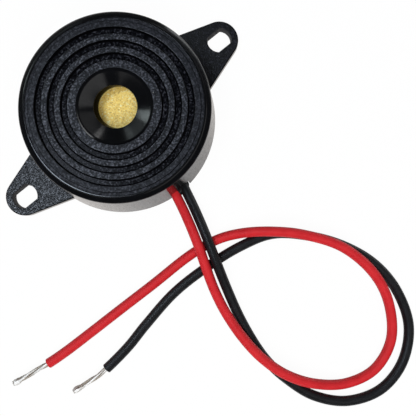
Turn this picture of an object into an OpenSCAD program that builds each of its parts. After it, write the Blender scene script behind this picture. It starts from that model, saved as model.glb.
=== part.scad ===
// Piezo buzzer: a ringed drum with two screw lugs, a driver board and two leads.
// Origin at the middle of the base, +Z up through the sound hole, lugs along X,
// leads out of the notch at -Y.

/* [Drum] */
// Diameter of the drum at its base
drum_d = 30; // [28.5:0.5:40]
// Height of the drum from the base to the face
drum_h = 10; // [9.5:0.5:16]
// Thickness of the wall at the base, beside the circuit board
wall_t = 1.1; // [0.9:0.1:1.6]
// Thickness of the front plate
plate_t = 1.5; // [1.2:0.1:2]
// Radius of the rounded lip
lip_round = 0.8; // [0.5:0.05:0.9]
// Distance from the base edge in to the lip's centre line
lip_inset = 1.7; // [1.4:0.1:2]
// How far the lip's crown lies below the face
lip_drop = 0.05; // [0:0.05:0.15]
// Width of the lip's flat crown inside its centre line
crown_w = 0.25; // [0.1:0.05:0.4]

/* [Face] */
// Width of the sunk band between the lip and the face
band_w = 0.45; // [0.3:0.05:0.7]
// Depth of the sunk band
band_depth = 0.2; // [0.1:0.05:0.4]
// Number of ring grooves
groove_count = 3; // [1:1:3]
// Width of each ring groove, and of the land outside it
ring_w = 0.95; // [0.6:0.05:1]
// Depth of the ring grooves
groove_depth = 0.5; // [0.3:0.05:0.7]
// Diameter of the sound hole
hole_d = 6.4; // [5:0.1:7]
// Radius of the dish at the face
dish_r = 5.85; // [5.5:0.05:6]
// Depth of the dish at the sound hole
dish_depth = 1.35; // [1:0.05:1.5]
// Depth and width of the small step at the dish's edge
dish_step = 0.28; // [0.1:0.02:0.4]
// Wall of the collar that carries the sound hole down to the disc
collar_wall = 1.2; // [0.8:0.1:1.5]
// Gap between the collar and the brass disc
collar_gap = 0.4; // [0.3:0.1:1]

/* [Lugs] */
// Thickness of a lug
lug_t = 1.6; // [1.2:0.1:2.5]
// Distance from the drum's base edge to the centre of a screw hole
hole_reach = 5; // [4.5:0.25:8]
// Radius of a lug's round tip
lug_tip_r = 2.9; // [2.5:0.05:4]
// How far the centre of the tip lies past the screw hole
lug_tip_past = 0.15; // [0:0.05:1]
// Angle at which each flank of a lug widens towards the drum
lug_flare = 18; // [5:1:25]
// Diameter of a screw hole's round ends
screw_hole_d = 4; // [3:0.1:4.5]
// Distance between a screw hole's two flats, which lie along X
screw_hole_flats = 3.05; // [2.5:0.05:3.8]

/* [Lead notch] */
// Width of the notch
notch_w = 3.9; // [3.8:0.1:5]
// Height of the notch
notch_h = 3; // [2.2:0.1:4]
// Distance from the Y axis to the middle of the notch
notch_x = -0.2; // [-0.4:0.05:0]

/* [Piezo disc] */
// Thickness of the brass disc
disc_t = 0.3; // [0.15:0.05:0.5]
// Clearance between the brass disc and its bore
disc_clearance = 0.1; // [0.05:0.05:0.3]
// Width of the shoulder that the disc sits on
disc_seat_w = 1.2; // [0.8:0.1:1.5]
// Diameter of the ceramic plate
ceramic_d = 20; // [14:0.5:21]
// Thickness of the ceramic plate
ceramic_t = 0.25; // [0.15:0.05:0.4]
// Height of the adhesive ring behind the disc
disc_glue_h = 0.4; // [0.2:0.1:0.8]

/* [Circuit board] */
// Depth of the board's back below the base
board_recess = 2.2; // [2.1:0.1:3]
// Thickness of the board
board_t = 1; // [0.8:0.1:1.6]
// Clearance between the board and its bore
board_clearance = 0.1; // [0.05:0.05:0.3]
// Width of the shoulder that the board sits on
board_seat_w = 0.3; // [0.2:0.05:0.5]
// Space between the board and the brass disc
back_space = 1.8; // [1.8:0.1:3]
// Width of the adhesive bead behind the board
board_glue_w = 0.95; // [0.6:0.05:1.2]
// Height of the adhesive bead behind the board
board_glue_h = 0.7; // [0.4:0.1:1.2]
// Clearance between an adhesive and the wall beside it
glue_clearance = 0.05; // [0.02:0.01:0.1]

/* [Wiring] */
// Diameter of a lead
lead_d = 1.6; // [1.2:0.05:1.6]
// Diameter of a lead's tinned strands
strand_d = 0.85; // [0.5:0.05:0.9]
// Diameter of the link wires between the disc and the board
link_d = 0.5; // [0.3:0.05:0.6]
// Diameter of the board's holes for the link wires
link_hole_d = 0.8; // [0.7:0.05:1]
// Clearance of a wire in its solder
wire_clearance = 0.04; // [0.02:0.01:0.08]
// Clearance of a lead in the glue block at the notch
lead_clearance = 0.08; // [0.06:0.01:0.1]

/* [Board parts] */
// Length and width of a resistor
resistor_plan = [2, 1.25]; // [0.8:0.05:2.2]
// Height of a resistor
resistor_h = 0.5; // [0.4:0.05:0.7]
// Length and width of the transistor's body
transistor_plan = [2.9, 1.3]; // [1:0.1:3]
// Length and width of the diode
diode_plan = [2.7, 1.6]; // [1:0.1:3]
// Height of the transistor and the diode
tall_part_h = 1.1; // [0.8:0.05:1.6]
// Length and height of a solder fillet
fillet_size = 0.4; // [0.2:0.05:0.5]
// Radius of the solder balls that hold the leads
lead_joint_r = 1.1; // [0.9:0.05:1.1]

/* [Hidden] */
$fn = 96;
past = 1; // how far a cutting shape reaches past a face

// drum and bores, from the outside in
base_r = drum_d / 2;
lip_x = base_r - lip_inset;
lip_z = drum_h - lip_drop - lip_round;
wall_lean = atan2(lip_inset, lip_z) - asin(lip_round / norm([lip_inset, lip_z]));
band_r = lip_x - crown_w;
face_r = band_r - band_w;
board_bore_r = base_r - wall_t;
disc_bore_r = board_bore_r - board_seat_w;
chamber_r = disc_bore_r - disc_seat_w;
collar_r = hole_d / 2 + collar_wall;

// heights, from the base up
board_top = board_recess + board_t;
disc_back = board_top + back_space;
disc_front = disc_back + disc_t;
ceramic_back = disc_back - ceramic_t;
collar_end = disc_front + collar_gap;
chamber_top = drum_h - plate_t;

// lugs
hole_x = base_r + hole_reach;
tip_x = hole_x + lug_tip_past;
lug_root_x = base_r - 3;

// link wires: angle round the board, radius of the board hole, radius of the disc joint
brass_joint_r = (ceramic_d / 2 + chamber_r) / 2;
ceramic_link_way = [60, 9.5, 5];
feedback_link_way = [150, 11, 7.5];
brass_link_way = [-40, 7.5, brass_joint_r];
link_ways = [ceramic_link_way, feedback_link_way, brass_link_way];
link_bend = link_d;
link_run_z = board_top + 0.75;
link_end = 0.3; // a link's bare end beyond the board
disc_joint_r = 0.5;
board_joint_r = 0.6;
lead_joint_inset = 0.4; // how far a lead joint's centre lies below the board

// board parts: x, y and turn of each
transistor_place = [0, 0.5, 0];
base_resistor_place = [-5, 1, 90];
collector_resistor_place = [5, 1, 90];
feedback_resistor_place = [-1.5, 5, 0];
diode_place = [-5, -5, 90];
resistor_places = [base_resistor_place, collector_resistor_place, feedback_resistor_place];
leg_w = 0.4;
leg_t = 0.15;
leg_out = 0.7;
leg_drop = 0.25;
leg_rise = 0.5;
leg_pitch = 1.9;
transistor_lift = 0.1;

// glue block round the leads at the notch
glue_back = board_bore_r - 0.6;
glue_front = glue_back - 3;
glue_half_w = 3.4;
glue_round = 0.8;
glue_foot = 0.15;
glue_gap_angle = 18;

// lead routes: first stretch bare inside the drum, last two stretches the bare tip
red_route = [[-0.9, -7.6, 1.2], [-0.9, -9.5, 1.2], [-0.9, -13, 1.2], [-1.55, -16.5, 1.5],
    [-2.45, -20, 2.15], [-3.5, -23.4, 2.5], [-4.8, -27, 2.5], [-6, -30.5, 1.8],
    [-6.9, -34.5, 1.65], [-7.25, -39, 2.45], [-6.95, -43.5, 2.5], [-5.65, -47.95, 2.5],
    [-3, -52.3, 1.6], [1, -55.7, 0.85], [6, -56.8, 0.8], [11, -54.7, 0.95], [14.3, -49.55, 1.75],
    [15.2, -44, 2.45], [13.95, -38.05, 2.5], [10.55, -32.85, 2.5], [6.85, -29.15, 2.5],
    [2.95, -26.35, 1.4], [-1, -24.65, 0.85], [-6, -23.9, 0.8], [-13, -23.8, 0.8],
    [-20, -23.6, 0.8], [-26, -23.45, 0.8], [-30.5, -23.3, 0.8], [-33.95, -23, 0.8],
    [-37, -22.5, 0.8], [-40.2, -22, 0.8]];
black_route = [[0.9, -5, 1.2], [0.9, -9.5, 1.2], [0.9, -13, 1.2], [0.15, -16.7, 1.5],
    [-0.75, -20.2, 2.15], [-1.9, -24, 2.5], [-3.2, -28, 2.5], [-4.45, -32, 1.4],
    [-5.6, -36.2, 0.8], [-6.4, -40.5, 0.8], [-6.7, -44.5, 0.8], [-6.2, -48.6, 0.8],
    [-4.45, -53.75, 0.8], [-0.8, -57.9, 0.8], [4.5, -59.9, 0.8], [10, -58.8, 0.8],
    [14.5, -55, 0.8], [16.6, -49.5, 0.8], [16.6, -44, 0.8], [14.75, -38.8, 0.8], [11.5, -34, 0.8],
    [7, -29.8, 0.8], [1.5, -27.95, 0.8], [-5, -27.1, 0.8], [-11.5, -27, 0.8], [-18, -28.05, 0.8],
    [-22.5, -29, 0.8], [-27.3, -29.5, 0.8], [-30.5, -29.4, 0.8], [-33.6, -28.95, 0.8]];
lead_sides = 8;
lead_rings = 39;
bare_stretches = 2; // stretches of the route that the bare far tip takes
tip_rings = 5;

// ---- lead routes ----

// points either side of stretch i, with the route carried on straight past both ends
function before(route, i) = i > 0 ? route[i - 1] : 2 * route[0] - route[1];
function after(route, i) = i + 2 < len(route) ? route[i + 2] : 2 * route[i + 1] - route[i];
function stretch(route, s) = min(floor(s), len(route) - 2);

// a smooth curve through every point of the route, at s counted in points
function curve_point(a, b, c, d, t) =
    (2 * b + (c - a) * t + (2 * a - 5 * b + 4 * c - d) * t * t
        + (3 * b - a - 3 * c + d) * t * t * t) / 2;
function curve_slope(a, b, c, d, t) =
    ((c - a) + 2 * (2 * a - 5 * b + 4 * c - d) * t + 3 * (3 * b - a - 3 * c + d) * t * t) / 2;
function route_point(route, s) = let (i = stretch(route, s))
    curve_point(before(route, i), route[i], route[i + 1], after(route, i), s - i);
function route_way(route, s) = let (i = stretch(route, s),
        v = curve_slope(before(route, i), route[i], route[i + 1], after(route, i), s - i))
    v / norm(v);

function ring(centre, way, radius) = let (
        side = cross(way, [0, 0, 1]) / norm(cross(way, [0, 0, 1])),
        up = cross(side, way))
    [for (j = [0 : lead_sides - 1]) let (a = 360 * j / lead_sides)
        centre + radius * (cos(a) * side + sin(a) * up)];

// a tube along the route from s = first to s = last
module tube(route, first, last, rings, d) {
    steps = [for (k = [0 : rings - 1]) first + (last - first) * k / (rings - 1)];
    corners = [for (s = steps) each ring(route_point(route, s), route_way(route, s), d / 2)];
    sides = [for (k = [0 : rings - 2], j = [0 : lead_sides - 1]) let (
            next = (j + 1) % lead_sides, low = k * lead_sides, high = low + lead_sides)
        [low + j, low + next, high + next, high + j]];
    start_cap = [for (j = [lead_sides - 1 : -1 : 0]) j];
    end_cap = [for (j = [0 : lead_sides - 1]) (rings - 1) * lead_sides + j];
    polyhedron(corners, concat([start_cap], sides, [end_cap]), convexity = 10);
}

function tip_start(route) = len(route) - 1 - bare_stretches;

module lead(route) {
    tube(route, 1, tip_start(route), lead_rings, lead_d);
}

module bare_ends(route) {
    tube(route, 0, 1, 2, strand_d);
    tube(route, tip_start(route), len(route) - 1, tip_rings, strand_d);
}

// ---- housing ----

// a ring of rectangular section
module band(inner, outer, bottom, top) {
    translate([0, 0, bottom])
        difference() {
            cylinder(r = outer, h = top - bottom);
            translate([0, 0, -past]) cylinder(r = inner, h = top - bottom + 2 * past);
        }
}

module drum_section() {
    tangent = [lip_x + lip_round * cos(wall_lean), lip_z + lip_round * sin(wall_lean)];
    polygon([[0, 0], [base_r, 0], tangent, [lip_x, lip_z], [0, lip_z]]);
    translate([lip_x, lip_z]) circle(r = lip_round);
    square([lip_x, lip_z + lip_round]);
    square([face_r, drum_h]);
}

module drum_blank() {
    difference() {
        rotate_extrude() drum_section();
        band(face_r, band_r, drum_h - band_depth, drum_h + past);
    }
}

module lug() {
    root_half_w = (lug_tip_r + (tip_x - lug_root_x) * sin(lug_flare)) / cos(lug_flare);
    flank = [tip_x + lug_tip_r * sin(lug_flare), lug_tip_r * cos(lug_flare)];
    linear_extrude(lug_t) {
        translate([tip_x, 0]) circle(r = lug_tip_r);
        polygon([[lug_root_x, root_half_w], flank, [flank.x, -flank.y],
            [lug_root_x, -root_half_w]]);
    }
}

// a round hole with two flats
module screw_hole() {
    translate([hole_x, 0, -past])
        intersection() {
            cylinder(d = screw_hole_d, h = lug_t + 2 * past);
            translate([-screw_hole_d, -screw_hole_flats / 2, -past])
                cube([2 * screw_hole_d, screw_hole_flats, lug_t + 4 * past]);
        }
}

module inner_space() {
    translate([0, 0, -past]) cylinder(r = board_bore_r, h = board_top + past);
    translate([0, 0, board_top - past]) cylinder(r = disc_bore_r, h = disc_front - board_top + past);
    difference() {
        translate([0, 0, disc_front - past]) cylinder(r = chamber_r, h = chamber_top - disc_front + past);
        band(hole_d / 2, collar_r, collar_end, chamber_top + past);
    }
}

module dish_and_hole() {
    translate([0, 0, board_top]) cylinder(d = hole_d, h = drum_h);
    rotate_extrude()
        polygon([[0, drum_h - dish_depth], [hole_d / 2, drum_h - dish_depth],
            [dish_r - dish_step, drum_h - dish_step], [dish_r, drum_h],
            [dish_r, drum_h + past], [0, drum_h + past]]);
}

module ring_grooves() {
    for (k = [1 : groove_count])
        let (inner = face_r - 2 * k * ring_w)
            band(inner, inner + ring_w, drum_h - groove_depth, drum_h + past);
}

module lead_notch() {
    translate([notch_x - notch_w / 2, -base_r - past, -past])
        cube([notch_w, wall_t + board_seat_w + disc_seat_w + 2 * past, notch_h + past]);
}

module housing() {
    color([0.11, 0.12, 0.15])
        difference() {
            union() {
                drum_blank();
                lug();
                mirror([1, 0, 0]) lug();
            }
            inner_space();
            dish_and_hole();
            ring_grooves();
            lead_notch();
            screw_hole();
            mirror([1, 0, 0]) screw_hole();
        }
}

// ---- piezo disc ----

module brass_diaphragm() {
    color([0.85, 0.68, 0.35])
        translate([0, 0, disc_back]) cylinder(r = disc_bore_r - disc_clearance, h = disc_t);
}

module piezo_ceramic() {
    color([0.82, 0.82, 0.8])
        translate([0, 0, ceramic_back]) cylinder(d = ceramic_d, h = ceramic_t);
}

module diaphragm_adhesive() {
    color([0.9, 0.9, 0.85])
        band(chamber_r, disc_bore_r - glue_clearance, disc_back - disc_glue_h, disc_back);
}

// ---- board ----

module circuit_board() {
    color([0.1, 0.35, 0.2])
        difference() {
            translate([0, 0, board_recess])
                cylinder(r = board_bore_r - board_clearance, h = board_t);
            for (way = link_ways)
                rotate(way[0]) translate([way[1], 0, board_recess - past])
                    cylinder(d = link_hole_d, h = board_t + 2 * past);
        }
}

// a bead round the wall, open at the notch
module board_adhesive() {
    outer = board_bore_r - glue_clearance;
    gap_half_w = base_r * tan(glue_gap_angle);
    color([0.9, 0.9, 0.85])
        difference() {
            band(outer - board_glue_w, outer, board_recess - board_glue_h, board_recess);
            translate([0, 0, board_recess - board_glue_h - past])
                linear_extrude(board_glue_h + 2 * past)
                    polygon([[0, 0], [-gap_half_w, -base_r], [gap_half_w, -base_r]]);
        }
}

module lead_channel(route) {
    translate([route[1].x, -board_bore_r, route[1].z]) rotate([-90, 0, 0])
        cylinder(d = lead_d + 2 * lead_clearance, h = board_bore_r);
}

module lead_anchor_glue() {
    depth = glue_back - glue_front;
    color([0.08, 0.08, 0.09])
        difference() {
            translate([-glue_half_w, -glue_back, glue_foot])
                linear_extrude(board_recess - glue_foot) {
                    for (x = [glue_round, 2 * glue_half_w - glue_round],
                            y = [glue_round, depth - glue_round])
                        translate([x, y]) circle(r = glue_round);
                    translate([glue_round, 0])
                        square([2 * (glue_half_w - glue_round), depth]);
                    translate([0, glue_round])
                        square([2 * glue_half_w, depth - 2 * glue_round]);
                }
            lead_channel(red_route);
            lead_channel(black_route);
        }
}

// puts a part that is drawn standing on z = 0 onto the back of the board
module on_board(place) {
    translate([place[0], place[1], board_recess]) rotate(place[2]) mirror([0, 0, 1]) children();
}

// a block of this length and width, standing on the board from z = bottom to z = top
module block(plan, bottom, top) {
    translate([-plan[0] / 2, -plan[1] / 2, bottom]) cube([plan[0], plan[1], top - bottom]);
}

module resistor(place) {
    color([0.15, 0.15, 0.16]) on_board(place) block(resistor_plan, 0, resistor_h);
}

module base_resistor() { resistor(base_resistor_place); }
module collector_resistor() { resistor(collector_resistor_place); }
module feedback_resistor() { resistor(feedback_resistor_place); }

module protection_diode() {
    color([0.1, 0.1, 0.1]) on_board(diode_place) block(diode_plan, 0, tall_part_h);
}

module transistor_body() {
    color([0.1, 0.1, 0.1])
        on_board(transistor_place) block(transistor_plan, transistor_lift, tall_part_h);
}

// one bent leg, running out along +Y from the body's side
module leg() {
    rotate([90, 0, 90])
        translate([0, 0, -leg_w / 2])
            linear_extrude(leg_w)
                polygon([[0, leg_rise], [leg_drop, leg_rise], [leg_drop, 0], [leg_out, 0],
                    [leg_out, leg_t], [leg_drop + leg_t, leg_t],
                    [leg_drop + leg_t, leg_rise + leg_t], [0, leg_rise + leg_t]]);
}

module each_leg() {
    half_w = transistor_plan[1] / 2;
    for (x = [-leg_pitch / 2, leg_pitch / 2])
        translate([x, half_w, 0]) children();
    rotate(180) translate([0, half_w, 0]) children();
}

module transistor_legs() {
    color("silver") on_board(transistor_place) each_leg() leg();
}

// ---- links between the board and the disc ----

// bend of a quarter turn in the XZ plane, from +Z up to +X
module bend() {
    rotate([90, 0, 0])
        translate([link_bend, 0, 0])
            rotate(90) rotate_extrude(angle = 90) translate([link_bend, 0]) circle(d = link_d);
}

module link(way, disc_face) {
    low = board_recess - link_end;
    high = disc_face - disc_joint_r / 5;
    run = way[2] - way[1];
    color("gainsboro") rotate(way[0]) {
        translate([way[1], 0, low]) cylinder(d = link_d, h = link_run_z - link_bend - low);
        translate([way[1], 0, link_run_z - link_bend]) mirror([run > 0 ? 0 : 1, 0, 0]) bend();
        translate([min(way[1], way[2]) + link_bend, 0, link_run_z])
            rotate([0, 90, 0]) cylinder(d = link_d, h = abs(run) - 2 * link_bend);
        translate([way[2], 0, link_run_z + link_bend])
            mirror([run > 0 ? 1 : 0, 0, 0]) mirror([0, 0, 1]) bend();
        translate([way[2], 0, link_run_z + link_bend])
            cylinder(d = link_d, h = high - link_run_z - link_bend);
    }
}

module ceramic_link() { link(ceramic_link_way, ceramic_back); }
module feedback_link() { link(feedback_link_way, ceramic_back); }
module brass_link() { link(brass_link_way, disc_back); }

// ---- solder ----

// half a ball hanging below a face, with the wire's way into it
module solder_cap(radius, wire_end) {
    difference() {
        sphere(r = radius);
        cylinder(r = 2 * radius, h = 2 * radius);
        translate([0, 0, wire_end]) children();
    }
}

module disc_solder_joints() {
    color("silver")
        for (pair = [[ceramic_link_way, ceramic_back], [feedback_link_way, ceramic_back],
                [brass_link_way, disc_back]])
            rotate(pair[0][0]) translate([pair[0][2], 0, pair[1]])
                solder_cap(disc_joint_r, wire_clearance - disc_joint_r / 5)
                    mirror([0, 0, 1])
                        cylinder(d = link_d + 2 * wire_clearance, h = 2 * disc_joint_r);
}

module board_solder_joints() {
    color("silver")
        for (way = link_ways)
            rotate(way[0]) translate([way[1], 0, board_recess])
                solder_cap(board_joint_r, -link_end - wire_clearance)
                    cylinder(d = link_d + 2 * wire_clearance, h = 2 * board_joint_r);
}

// the ball that holds a lead's bare inner end, which runs into it along +Y
module lead_joint(route) {
    difference() {
        translate([route[0].x, route[0].y - lead_joint_inset, board_recess - lead_joint_inset])
            sphere(r = lead_joint_r);
        translate([route[0].x, route[0].y, board_recess])
            cylinder(r = 3 * lead_joint_r, h = 2 * lead_joint_r);
        translate([route[0].x, route[1].y, route[0].z]) rotate([-90, 0, 0])
            cylinder(d = strand_d + 2 * wire_clearance,
                h = route[0].y - route[1].y + wire_clearance);
    }
}

module lead_solder_joints() {
    color("silver") {
        lead_joint(red_route);
        lead_joint(black_route);
    }
}

// a wedge of solder on the end of a part, running out along +Y
module fillet(w) {
    rotate([90, 0, 90])
        translate([0, 0, -w / 2])
            linear_extrude(w)
                polygon([[0, 0], [fillet_size, 0], [0, fillet_size]]);
}

module end_fillets(plan) {
    for (turn = [90, 270])
        rotate(turn) translate([0, plan[0] / 2, 0]) fillet(plan[1]);
}

module component_solder_joints() {
    color("silver") {
        for (place = resistor_places)
            on_board(place) end_fillets(resistor_plan);
        on_board(diode_place) end_fillets(diode_plan);
        on_board(transistor_place)
            each_leg() translate([0, leg_out, 0]) fillet(leg_w);
    }
}

// ---- leads ----

module red_lead() { color([0.72, 0.12, 0.15]) lead(red_route); }
module red_lead_bare_ends() { color("gainsboro") bare_ends(red_route); }
module black_lead() { color([0.1, 0.1, 0.11]) lead(black_route); }
module black_lead_bare_ends() { color("gainsboro") bare_ends(black_route); }

housing();
brass_diaphragm();
piezo_ceramic();
diaphragm_adhesive();
circuit_board();
board_adhesive();
lead_anchor_glue();
transistor_body();
transistor_legs();
base_resistor();
collector_resistor();
feedback_resistor();
protection_diode();
ceramic_link();
feedback_link();
brass_link();
disc_solder_joints();
board_solder_joints();
lead_solder_joints();
component_solder_joints();
red_lead();
red_lead_bare_ends();
black_lead();
black_lead_bare_ends();
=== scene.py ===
"""Looks of the piezo buzzer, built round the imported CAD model.

The drum is a lathed moulding with lugs, screw holes and lead notch cut into it, the leads are
swept tubes with twisted bare ends, and the driver board is finished as seen from below.
Shapes are worked out in millimetres and turned into metres as each mesh is made.
"""

import math

import bmesh
import bpy
from mathutils import Matrix, Vector, noise


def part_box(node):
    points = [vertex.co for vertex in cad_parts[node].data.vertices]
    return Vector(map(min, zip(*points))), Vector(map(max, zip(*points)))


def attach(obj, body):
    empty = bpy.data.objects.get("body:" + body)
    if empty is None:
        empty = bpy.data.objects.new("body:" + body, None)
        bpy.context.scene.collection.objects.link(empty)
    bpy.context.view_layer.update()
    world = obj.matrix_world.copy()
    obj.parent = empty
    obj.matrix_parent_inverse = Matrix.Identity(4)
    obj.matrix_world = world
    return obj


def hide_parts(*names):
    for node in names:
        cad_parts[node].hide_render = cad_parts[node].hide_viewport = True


MM = 0.001
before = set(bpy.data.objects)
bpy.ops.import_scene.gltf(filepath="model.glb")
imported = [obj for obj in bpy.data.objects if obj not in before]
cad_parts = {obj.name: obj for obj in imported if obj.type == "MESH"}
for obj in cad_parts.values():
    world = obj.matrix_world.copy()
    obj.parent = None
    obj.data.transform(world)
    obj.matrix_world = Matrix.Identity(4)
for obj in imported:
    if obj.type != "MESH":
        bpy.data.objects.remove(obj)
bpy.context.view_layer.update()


def cad_mm(node):
    """Lowest and highest corner of a CAD node, in millimetres."""
    low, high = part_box(node)
    return low / MM, high / MM


def add_object(name, data):
    obj = bpy.data.objects.new(name, data)
    bpy.context.scene.collection.objects.link(obj)
    return obj


# -------- camera

EYE = Vector((-1.09, -21.25, 88.0))
LOOKS_AT = Vector((1.468, -19.858, 0.0))
CAMERA_UP = Vector((0.632, 0.775, 0.03))
LENS = 46.78


def make_camera():
    data = bpy.data.cameras.new("camera")
    data.lens = LENS
    data.sensor_width = 36.0
    data.clip_start = 0.005
    data.clip_end = 10.0
    cam = add_object("camera", data)
    back = (EYE - LOOKS_AT).normalized()
    right = CAMERA_UP.cross(back).normalized()
    up = back.cross(right)
    turn = Matrix((right, up, back)).transposed().to_4x4()
    cam.matrix_world = Matrix.Translation(EYE * MM) @ turn
    bpy.context.scene.camera = cam


make_camera()

# -------- meshes


def mesh_from(name, points, faces, finishes=None, materials=()):
    """A mesh object from points in millimetres. finishes gives each face's material."""
    mesh = bpy.data.meshes.new(name)
    mesh.from_pydata([tuple(Vector(p) * MM) for p in points], [], faces)
    for material in materials:
        mesh.materials.append(material)
    if finishes:
        mesh.polygons.foreach_set("material_index", finishes)
    mesh.update()
    work = bmesh.new()
    work.from_mesh(mesh)
    bmesh.ops.recalc_face_normals(work, faces=work.faces)
    work.to_mesh(mesh)
    work.free()
    return add_object(name, mesh)


def shade(obj, sharp_angle=35):
    """Smooth shading with creases kept, and flat faces kept flat."""
    mesh = obj.data
    mesh.polygons.foreach_set("use_smooth", [True] * len(mesh.polygons))
    mesh.set_sharp_from_angle(angle=math.radians(sharp_angle))
    return obj


def apply_modifiers(obj):
    """Replaces the object's mesh by what its modifiers make of it."""
    graph = bpy.context.evaluated_depsgraph_get()
    made = bpy.data.meshes.new_from_object(obj.evaluated_get(graph))
    obj.modifiers.clear()
    obj.data = made
    return obj


def combine(obj, other, operation):
    """Boolean of two closed meshes. The other one is used up."""
    step = obj.modifiers.new("combine", "BOOLEAN")
    step.operation = operation
    step.solver = "EXACT"
    step.object = other
    apply_modifiers(obj)
    bpy.data.objects.remove(other)
    return obj


def full_turn(steps):
    """Angles of evenly spaced points round a circle."""
    return [2 * math.pi * k / steps for k in range(steps)]


def arc(x, y, radius, start, sweep, steps):
    """Points of an arc round (x, y), both of its ends included."""
    turns = [start + sweep * k / steps for k in range(steps + 1)]
    return [(x + radius * math.cos(a), y + radius * math.sin(a)) for a in turns]


def grid_faces(rows, columns, closed_rows=False):
    """Quads between rings of points, where each ring is closed."""
    faces = []
    for i in range(rows if closed_rows else rows - 1):
        low, high = i * columns, (i + 1) % rows * columns
        for j in range(columns):
            k = (j + 1) % columns
            faces.append((low + j, low + k, high + k, high + j))
    return faces


def capped_faces(rows, columns, base=0):
    """Faces of a stack of rings closed at both ends, numbered from base."""
    last = (rows - 1) * columns
    caps = [range(columns), range(last, last + columns)]
    faces = [caps[0], *grid_faces(rows, columns), caps[1]]
    return [tuple(base + v for v in face) for face in faces]


def stack_solid(name, rings, finish, materials):
    """A closed solid from rings of as many points each, capped at both ends.

    finish is one material's number, or a list of one for each strip and each cap.
    """
    columns = len(rings[0])
    if isinstance(finish, int):
        finish = [finish] * (len(rings) + 1)
    faces = capped_faces(len(rings), columns)
    finishes = [finish[0], *[f for f in finish[1:-1] for _ in range(columns)], finish[-1]]
    points = [p for ring in rings for p in ring]
    return mesh_from(name, points, faces, finishes, materials)


def stack_outlines(name, outline, levels, finish, materials):
    """A closed solid from (size, z) levels, where outline(size) gives the points of each."""
    rings = [[(x, y, z) for x, y in outline(size)] for size, z in levels]
    return stack_solid(name, rings, finish, materials)


ROUND_STEPS = 5


def rounded_outline(corners):
    """Points of a closed outline with its corners rounded.

    Each corner is (r, z, radius, finish), and finish is that of the edge that follows it. A
    fifth item is the finish of the rounding. Returns the points and the finish after each.
    """
    points, finishes = [], []
    for i, (r, z, radius, finish, *rounding) in enumerate(corners):
        here = Vector((r, z))
        back = (Vector(corners[i - 1][:2]) - here).normalized()
        onward = (Vector(corners[(i + 1) % len(corners)][:2]) - here).normalized()
        if radius == 0:
            points.append(here)
            finishes.append(finish)
            continue
        half = back.angle(onward) / 2
        middle = here + (back + onward).normalized() * radius / math.sin(half)
        first = here + back * radius / math.tan(half) - middle
        last = here + onward * radius / math.tan(half) - middle
        turn = first.angle_signed(last)
        for k in range(ROUND_STEPS + 1):
            spoke = first.copy()
            spoke.rotate(Matrix.Rotation(-turn * k / ROUND_STEPS, 2))
            points.append(middle + spoke)
            finishes.append(finish if k == ROUND_STEPS else rounding[0] if rounding else SMOOTH)
    return points, finishes


def lathe(name, corners, segments, materials):
    """A closed solid of revolution about Z."""
    outline, edge_finishes = rounded_outline(corners)
    turns = full_turn(segments)
    points = [(p.x * math.cos(a), p.x * math.sin(a), p.y) for p in outline for a in turns]
    faces = grid_faces(len(outline), segments, closed_rows=True)
    finishes = [f for f in edge_finishes for _ in range(segments)]
    return mesh_from(name, points, faces, finishes, materials)


def unite(name, parts):
    """Makes closed solids into one object of this name."""
    whole = parts[0]
    whole.name = whole.data.name = name
    for part in parts[1:]:
        combine(whole, part, "UNION")
    return whole


def stand_for(obj, node):
    """Puts an object in the place of a CAD node."""
    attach(obj, "root")
    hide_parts(node)


def finish_piece(obj, node, angle=35):
    shade(obj, angle)
    stand_for(obj, node)


# -------- materials


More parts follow.
